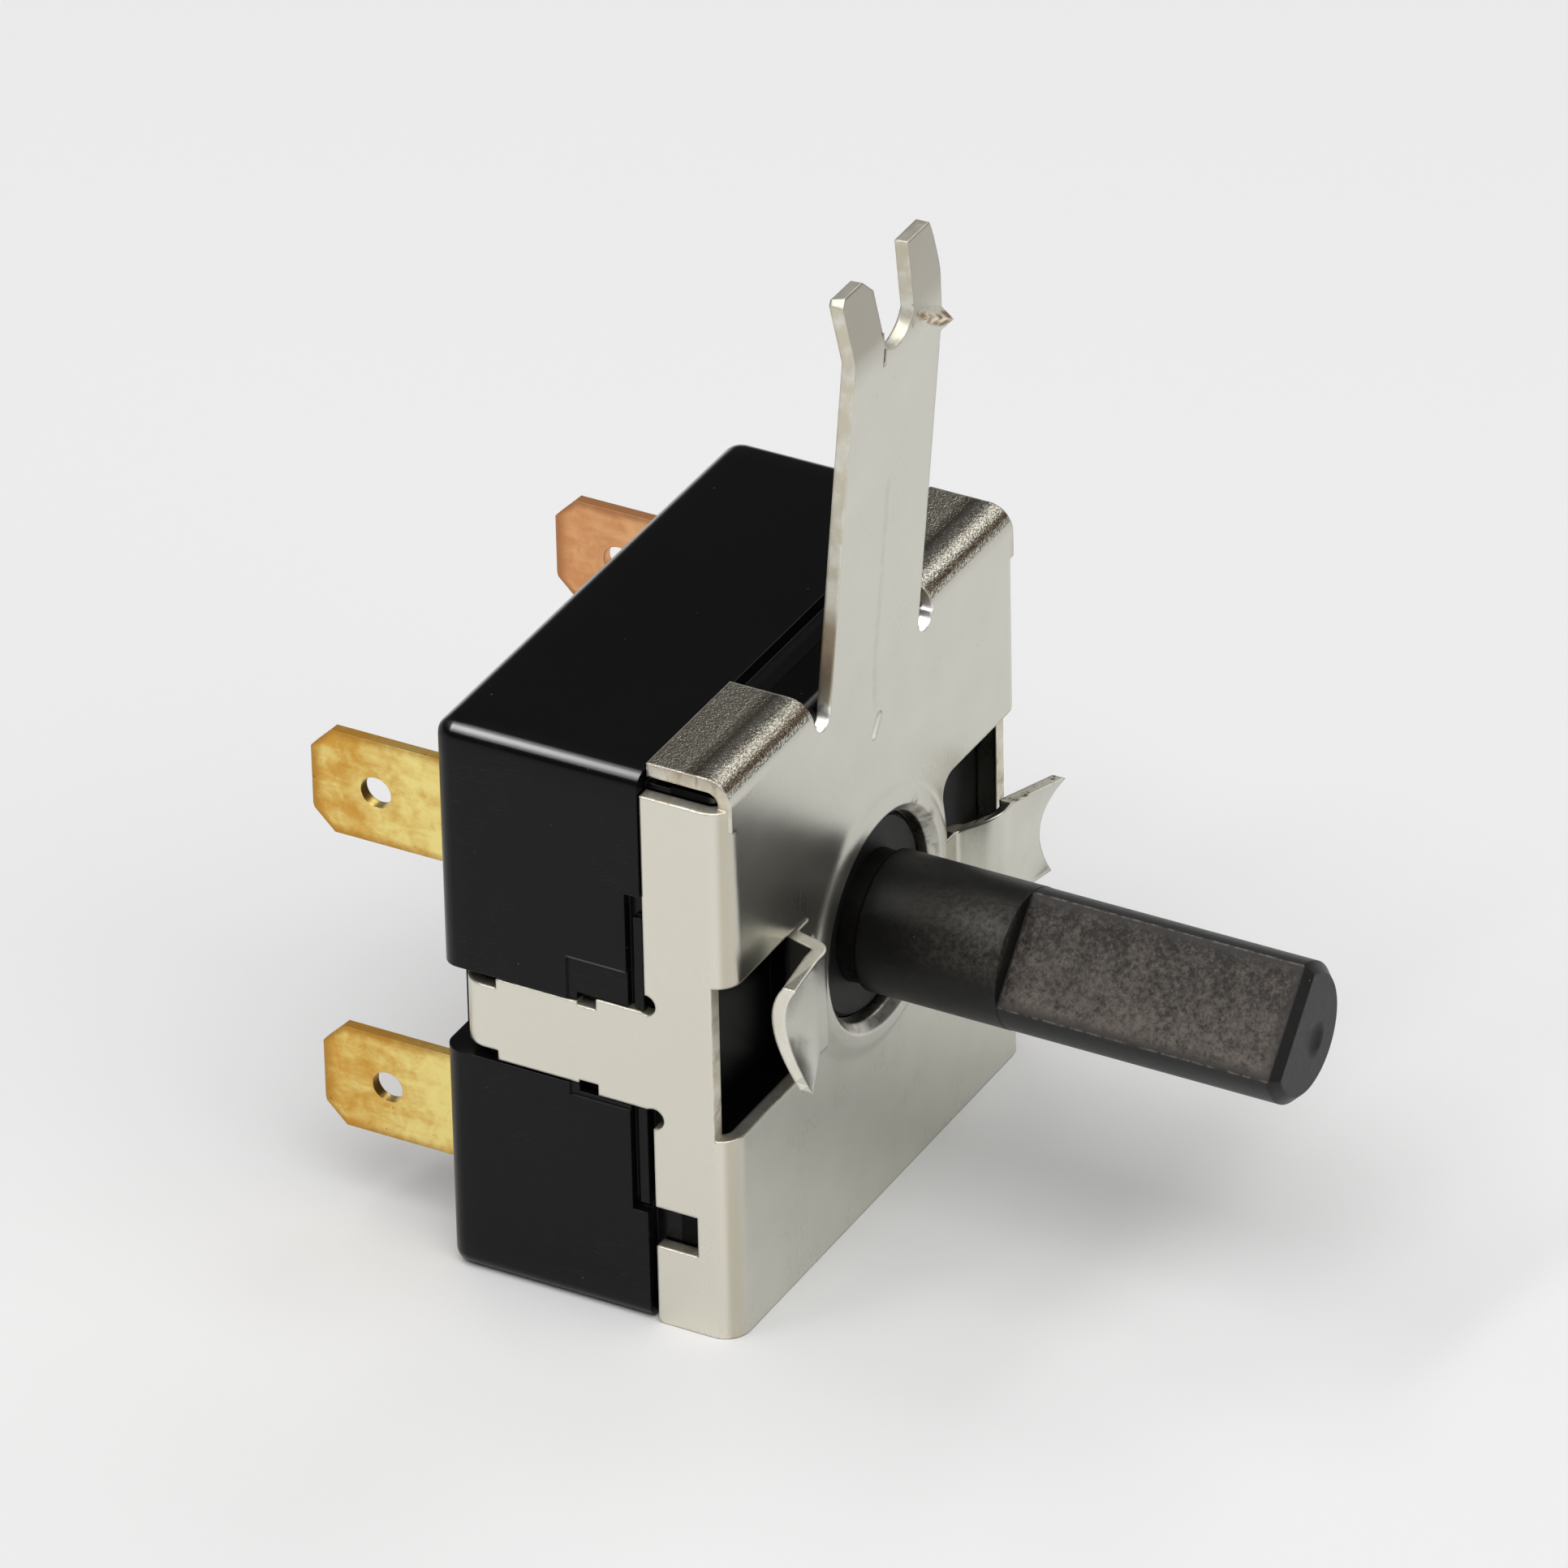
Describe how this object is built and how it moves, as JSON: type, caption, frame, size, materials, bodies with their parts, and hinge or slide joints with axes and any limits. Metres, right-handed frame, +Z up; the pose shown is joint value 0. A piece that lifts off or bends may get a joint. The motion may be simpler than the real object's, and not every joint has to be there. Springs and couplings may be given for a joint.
{
  "type": "rotary switch",
  "caption": "Rotary selector switch in a bent steel twist-lock bracket, with a flatted shaft, a forked tongue and blade terminals on the back.",
  "frame": {"origin": "on the shaft's axis, at the front face of the bracket's plate", "axes": "+X to the right seen from the front, +Y to the back along the shaft's axis, so that the shaft points to -Y, +Z up towards the forked tongue"},
  "size_m": [0.0252, 0.0397, 0.0444],
  "materials": {
    "bracket_steel": "satin",
    "case_plastic": "gloss",
    "cover_plastic": "gloss",
    "index_plastic": "matte",
    "shaft_plastic": "satin",
    "rotor_plastic": "matte",
    "washer_steel": "satin",
    "spring_steel": "satin",
    "ball_steel": "polished",
    "terminal_brass": "satin",
    "terminal_copper": "satin",
    "contact_brass": "satin"
  },
  "bodies": {
    "switch_body": {"mounting_bracket": "bracket_steel", "housing": "case_plastic", "front_cover": "cover_plastic", "index_ring": "index_plastic", "terminal_upper_left": "terminal_brass", "terminal_lower_left": "terminal_brass", "terminal_upper_right": "terminal_copper", "terminal_lower_right": "terminal_copper", "contact_rivet_upper_left": "contact_brass", "contact_rivet_lower_left": "contact_brass", "contact_rivet_upper_right": "contact_brass", "contact_rivet_lower_right": "contact_brass", "thrust_washer": "washer_steel"},
    "rotor_assembly": {"shaft": "shaft_plastic", "rotor": "rotor_plastic", "contact_spring": "spring_steel", "retaining_ring": "spring_steel", "rotor_contact": "contact_brass", "detent_ball_left": "ball_steel", "detent_ball_right": "ball_steel", "detent_spring_left": "spring_steel", "detent_spring_right": "spring_steel"}
  },
  "joints": [
    {"name": "shaft_turn", "type": "hinge", "parent": "switch_body", "child": "rotor_assembly", "pos_m": [0, 0, 0], "axis": [0, 1, 0], "range_deg": [0, 135]}
  ]
}
